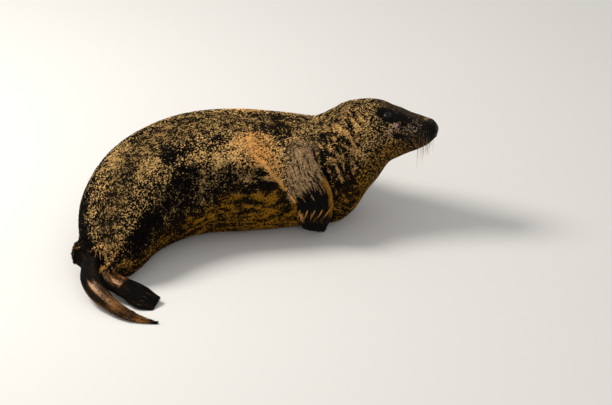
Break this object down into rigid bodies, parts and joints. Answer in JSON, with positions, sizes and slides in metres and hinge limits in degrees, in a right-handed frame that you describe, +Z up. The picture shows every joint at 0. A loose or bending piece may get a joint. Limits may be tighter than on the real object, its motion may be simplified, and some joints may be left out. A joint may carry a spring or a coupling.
{
  "type": "grey seal",
  "caption": "Young grey seal at rest on its belly, with its chest propped, head raised, fore flippers tucked down its flanks, and hindquarters curled round to its right.",
  "frame": {"origin": "on the floor under the middle of the bounding box", "axes": "+X towards the head, +Y to the seal's left, +Z up from the floor it lies on"},
  "size_m": [0.9038, 0.7562, 0.3252],
  "materials": {
    "fur": "short dense fur, speckled sandy tan over near-black brown",
    "dark_fur": "short dark fur over the whisker pads, with a bare damp nose",
    "flipper_skin": "sleek wet fur over thick skin",
    "eye": "wet and glossy",
    "claw": "smooth horn"
  },
  "bodies": {
    "root": {"muzzle": "dark_fur", "head": "fur", "neck": "fur", "chest": "fur", "shoulders": "fur", "trunk": "fur", "loin": "fur", "hips": "fur", "rump": "fur", "tail": "fur", "fore_flipper_right": "flipper_skin", "fore_flipper_left": "flipper_skin", "hind_flipper_left": "flipper_skin", "hind_flipper_right": "flipper_skin", "eye_left": "eye", "eye_right": "eye", "fore_claw_left_1": "claw", "fore_claw_left_2": "claw", "fore_claw_left_3": "claw", "fore_claw_left_4": "claw", "fore_claw_left_5": "claw", "fore_claw_right_1": "claw", "fore_claw_right_2": "claw", "fore_claw_right_3": "claw", "fore_claw_right_4": "claw", "fore_claw_right_5": "claw", "hind_claw_left_1": "claw", "hind_claw_left_2": "claw", "hind_claw_left_3": "claw", "hind_claw_left_4": "claw", "hind_claw_left_5": "claw", "hind_claw_right_1": "claw", "hind_claw_right_2": "claw", "hind_claw_right_3": "claw", "hind_claw_right_4": "claw", "hind_claw_right_5": "claw"}
  },
  "joints": []
}
